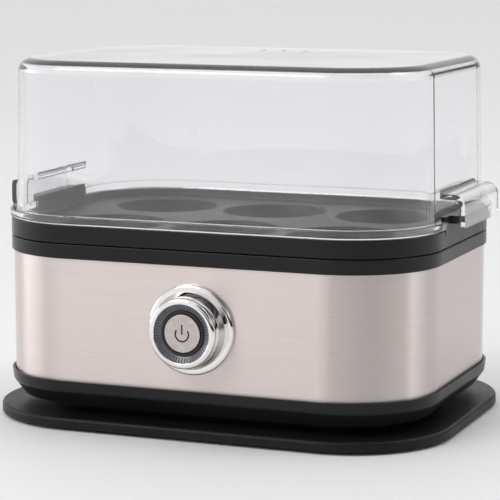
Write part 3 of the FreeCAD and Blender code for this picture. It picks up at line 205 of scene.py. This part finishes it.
def brushed(name, colour, rough, lines):
    """Steel brushed level with the base: fine lines round the body stretch highlights up and down."""
    m = Material(name, colour, rough, Metallic=1.0, Anisotropic=0.9, Anisotropic_Rotation=0.25)
    fine = m.noise(scale=1.0, detail=3, rough=0.6, stretch=(38, 38, 9000))
    broad = m.noise(scale=1.0, detail=3, rough=0.65, stretch=(12, 12, 2600), shift=(3, 1, 0))
    both = maths(m.tree, "ADD", maths(m.tree, "MULTIPLY", fine, 0.65), maths(m.tree, "MULTIPLY", broad, 0.35))
    dark, light = scaled(colour, 1 - 0.13 * lines), scaled(colour, 1 + 0.08 * lines)
    m.put("Base Color", m.ramp(both, dark, light))
    m.put("Roughness", m.ramp(both, rough - 0.045, rough + 0.06))
    tangent = m.tree.nodes.new("ShaderNodeTangent")
    tangent.direction_type = "RADIAL"
    tangent.axis = "Z"
    m.put("Tangent", tangent.outputs["Tangent"])
    m.bump(both, 0.0000035 * lines)
    m.bump(m.noise(scale=9, detail=1, rough=0.4), 0.0001, strength=0.25)
    return m


def polished(name, colour, rough):
    """Chrome plating with faint smears and a slight unevenness."""
    m = Material(name, colour, rough, Metallic=1.0)
    smear = m.noise(scale=90, detail=4, rough=0.6)
    m.put("Roughness", m.ramp(smear, rough, rough + 0.07, start=0.45, end=0.75))
    m.put("Base Color", m.ramp(m.noise(scale=60, detail=3), colour, scaled(colour, 0.93), start=0.4, end=0.8))
    m.bump(m.noise(scale=150, detail=2, rough=0.5), 0.00003, strength=0.5)
    return m


def plain_metal(name, colour, rough, grain, depth=0.00001):
    """Metal without plating: grain is its spots per metre, and depth that of its relief."""
    m = Material(name, colour, rough, Metallic=1.0)
    m.put("Base Color", m.ramp(m.noise(grain, detail=4), scaled(colour, 0.8), colour))
    m.put("Roughness", m.ramp(m.noise(grain * 2, detail=3), rough - 0.06, rough + 0.1))
    m.bump(m.noise(grain * 4, detail=3), depth)
    return m


def soft_rubber(name, colour):
    m = Material(name, colour, 0.75, IOR=1.45, Sheen_Weight=0.05)
    dust = m.noise(scale=60, detail=4)
    m.put("Base Color", m.ramp(dust, colour, scaled(colour, 1.6, 0.004), start=0.35))
    m.put("Roughness", m.ramp(m.noise(scale=140, detail=3), 0.68, 0.86))
    m.bump(m.noise(scale=1800, detail=3), 0.00001)
    return m


def sleeved(name, colour):
    """Woven heat-proof sleeve of a wire: two sets of threads that cross."""
    m = Material(name, colour, 0.7, IOR=1.45)
    threads = [m.node("TexWave", Vector=m.place(turn=turn), Scale=520, Distortion=1.2, Detail=1.0)
               for turn in ((0.8, 0.6, 0.9), (-0.8, 0.7, -0.6))]
    weave = maths(m.tree, "MULTIPLY", threads[0].outputs["Fac"], threads[1].outputs["Fac"])
    m.put("Base Color", m.ramp(weave, scaled(colour, 0.55), colour, start=0.1, end=0.6))
    m.bump(weave, 0.00008)
    return m


def clear_lid():
    """Clear moulded plastic with faint smears and waviness. It lets the lamps' light through."""
    m = Material("clear_plastic", (0.985, 0.98, 0.992), 0.015, IOR=1.49, Transmission_Weight=0.985)
    smear = m.noise(scale=22, detail=4, rough=0.6)
    m.put("Roughness", m.ramp(smear, 0.01, 0.05, start=0.4, end=0.8))
    m.bump(m.noise(scale=14, detail=2, rough=0.4), 0.00016, strength=0.5)
    m.bump(m.noise(scale=120, detail=2, rough=0.5), 0.000006, strength=0.6)
    path = m.tree.nodes.new("ShaderNodeLightPath")
    through = m.node("BsdfTransparent", Color=(0.93, 0.93, 0.935, 1))
    mix = m.tree.nodes.new("ShaderNodeMixShader")
    m.tree.links.new(path.outputs["Is Shadow Ray"], mix.inputs[0])
    m.tree.links.new(m.shader.outputs[0], mix.inputs[1])
    m.tree.links.new(through.outputs[0], mix.inputs[2])
    m.tree.links.new(mix.outputs[0], m.out.inputs["Surface"])
    return m


# Materials of the pieces

moulded("black_band_plastic", (0.007, 0.007, 0.008), 0.3, gloss=0.24).give(
    "upper_frame", "bottom_bowl", "egg_tray")
moulded("black_deck_plastic", (0.008, 0.008, 0.009), 0.44, grain=0.000003, gloss=0.22).give(
    "tray_deck", "egg_cups")
moulded("black_base_plastic", (0.005, 0.005, 0.0055), 0.4, grain=0.00001, gloss=0.2).give("base_plate")
moulded("inner_plastic", (0.02, 0.02, 0.021), 0.5, grain=0.00001).give(
    "cord_clamp", "thermostat", "bezel_nut", "button_guide", "button_stem", "switch_bracket", "switch_body")
moulded("ring_plastic", (0.010, 0.010, 0.0105), 0.34, gloss=0.4).give("light_ring")
moulded("symbol_plastic", (0.01, 0.009, 0.0085), 0.55, gloss=0.2).give("power_symbol")
moulded("pale_plastic", (0.62, 0.6, 0.55), 0.45).give(
    "terminal_block", "heater_bushes", "thermal_fuse", "switch_plunger")
moulded("board_laminate", (0.02, 0.12, 0.05), 0.35).give("lamp_board")
moulded("lamp_resin", (0.75, 0.74, 0.66), 0.25).give("lamps")
moulded("smoke_plastic", (0.1, 0.1, 0.115), 0.22, grain=0.000004, clear=0.5).give("dial_ring")
brushed("brushed_steel", (0.665, 0.595, 0.572), 0.3, lines=0.45).give("steel_wrap")
plain_metal("button_satin", (0.62, 0.565, 0.545), 0.36, grain=700, depth=0.000004).give("button_cap")
polished("chrome_plate", (0.86, 0.845, 0.835), 0.035).give("bezel_flange", "bezel_sleeve")
plain_metal("zinc_steel", (0.56, 0.56, 0.55), 0.35, grain=500).give(
    "base_screws", "tie_screws", "clamp_screws", "bracket_screws", "switch_screws", "heater_pins",
    "thermostat_bracket", "button_clip", "return_spring")
plain_metal("stamped_brass", (0.72, 0.53, 0.24), 0.32, grain=500).give(
    "terminal_screws", "switch_tags", "thermostat_tags")
plain_metal("cast_aluminium", (0.6, 0.6, 0.6), 0.42, grain=240, depth=0.00002).give(
    "heating_pan", "heater_tube")
soft_rubber("rubber", (0.016, 0.016, 0.016)).give("rubber_feet", "cable_grommet")
soft_rubber("seal_rubber", (0.35, 0.34, 0.33)).give("pan_seal")
sleeved("wire_sleeve", (0.4, 0.05, 0.035)).give(
    "live_wire", "switch_wire", "thermostat_wire", "heater_link_wire", "lamp_wires")
sleeved("wire_sleeve_pale", (0.6, 0.58, 0.52)).give("neutral_wire")
clear_lid().give("lid")


# Pieces

def shade(names):
    """Smooth shading for the carried-over pieces, with their edges kept sharp."""
    for name in names:
        mesh = nodes[name].data
        mesh.shade_smooth()
        mesh.set_sharp_from_angle(angle=math.radians(SHARP_DEGREES))


def spring():
    """The button's return spring, whose back end is fixed, as a piece of its own on the housing."""
    piece = bpy.data.objects.new("button_spring", nodes["return_spring"].data.copy())
    bpy.context.scene.collection.objects.link(piece)
    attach(piece, "housing")
    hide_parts("return_spring")
    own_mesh(piece)


# Studio: a pale floor, a soft surround and two soft lamps

def surround():
    world = bpy.data.worlds.new("studio")
    bpy.context.scene.world = world
    world.use_nodes = True
    tree = world.node_tree
    where = tree.nodes.new("ShaderNodeTexCoord").outputs["Generated"]
    split = tree.nodes.new("ShaderNodeSeparateXYZ")
    tree.links.new(where, split.inputs[0])

    # Levels round the object
    forward = maths(tree, "MULTIPLY", split.outputs["Y"], -1)
    round_angle = maths(tree, "ARCTAN2", split.outputs["X"], forward)
    share = maths(tree, "ADD", maths(tree, "DIVIDE", round_angle, 2 * math.pi), 0.5)
    ramp = tree.nodes.new("ShaderNodeValToRGB")
    ramp.color_ramp.interpolation = "EASE"
    elements = ramp.color_ramp.elements
    while len(elements) < len(STOPS):
        elements.new(0.5)
    for element, (angle, _, _) in zip(elements, STOPS):
        element.position = angle / 360 + 0.5
    for element, (_, level, warm) in zip(elements, STOPS):
        element.color = (level * (1 + warm), level, level * (1 - warm), 1)
    tree.links.new(share, ramp.inputs[0])

    # Overhead it is even
    fade = spread(tree, split.outputs["Z"], FADE_LOW, FADE_HIGH)
    lit = mix_colours(tree, fade, ramp.outputs["Color"], OVERHEAD)

    # A dark panel up to the front right, which the chrome mirrors
    dot = tree.nodes.new("ShaderNodeVectorMath")
    dot.operation = "DOT_PRODUCT"
    tree.links.new(where, dot.inputs[0])
    dot.inputs[1].default_value = PANEL_AIM
    patch = spread(tree, dot.outputs["Value"], math.cos(PANEL_EDGE), math.cos(PANEL_CORE), kind="SMOOTHSTEP")
    back = tree.nodes["Background"]
    tree.links.new(mix_colours(tree, patch, lit, PANEL), back.inputs["Color"])
    back.inputs["Strength"].default_value = 1.0


def lamp(name, energy, size, spot, colour=(1, 1, 1)):
    light = bpy.data.lights.new(name, "AREA")
    light.shape = "RECTANGLE"
    light.size, light.size_y = size
    light.energy = energy
    light.color = colour
    obj = bpy.data.objects.new(name, light)
    bpy.context.scene.collection.objects.link(obj)
    obj.location = spot
    obj.rotation_euler = (Vector(LAMP_TARGET) - Vector(spot)).to_track_quat("-Z", "Y").to_euler()


def floor():
    mesh = bpy.data.meshes.new("floor")
    form = bmesh.new()
    bmesh.ops.create_circle(form, cap_ends=True, segments=FLOOR_SIDES, radius=FLOOR_RADIUS)
    form.to_mesh(mesh)
    form.free()
    obj = bpy.data.objects.new("floor", mesh)
    bpy.context.scene.collection.objects.link(obj)
    obj.location = (0, 0, -FLOOR_DROP)
    m = Material("floor_paint", FLOOR_MEAN, 0.6)
    m.put("Base Color", m.ramp(m.noise(scale=1.2, detail=2), FLOOR_LOW, FLOOR_HIGH))
    mesh.materials.append(m.data)


def camera():
    low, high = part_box("steel_wrap")
    body = (low + high) / 2
    back = Vector((math.sin(TURN) * math.cos(RISE), -math.cos(TURN) * math.cos(RISE), math.sin(RISE)))
    right = Vector((math.cos(TURN), math.sin(TURN), 0))
    up = back.cross(right)
    target = Vector((body.x, body.y, AIM_HEIGHT)) + right * ASIDE
    data = bpy.data.cameras.new("camera")
    data.sensor_width = SENSOR_MM
    data.sensor_fit = "HORIZONTAL"
    data.lens = SENSOR_MM * FOCAL_PIXELS / PHOTO_PIXELS
    data.clip_start, data.clip_end = CLIP
    obj = bpy.data.objects.new("camera", data)
    bpy.context.scene.collection.objects.link(obj)
    spot = target + back * DISTANCE
    obj.matrix_world = Matrix.Translation(spot) @ Matrix((right, up, back)).transposed().to_4x4()
    bpy.context.scene.camera = obj


surround()
floor()
camera()
lamp("key", energy=7.0, size=(0.9, 0.6), spot=(-0.75, -1.05, 1.25))
lamp("rim", energy=3.4, size=(0.6, 0.6), spot=(1.05, 0.45, 1.45), colour=(0.97, 0.98, 1))
bpy.context.scene.view_settings.view_transform = "Standard"

shade(nodes)
spring()
